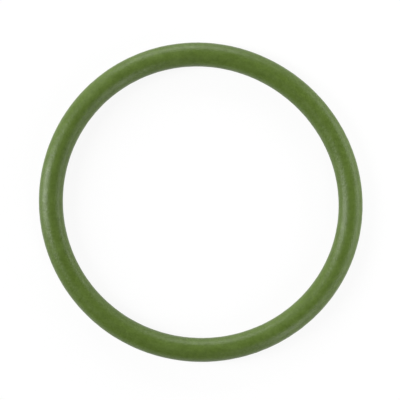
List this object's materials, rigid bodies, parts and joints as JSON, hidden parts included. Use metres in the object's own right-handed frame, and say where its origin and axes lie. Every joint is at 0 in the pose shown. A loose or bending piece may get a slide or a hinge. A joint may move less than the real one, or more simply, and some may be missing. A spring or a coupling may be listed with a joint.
{
  "type": "o-ring",
  "caption": "Round rubber seal ring with a circular section, seated in a groove between a pipe end or spigot and the bore around it.",
  "frame": {"origin": "centre of the ring, on its axis and on its middle plane", "axes": "+Z along the ring's axis; the ring lies flat in the XY plane, the same all round"},
  "size_m": [0.048, 0.048, 0.0036],
  "materials": {
    "green_rubber": "satin"
  },
  "bodies": {
    "root": {"o_ring": "green_rubber"}
  },
  "joints": []
}
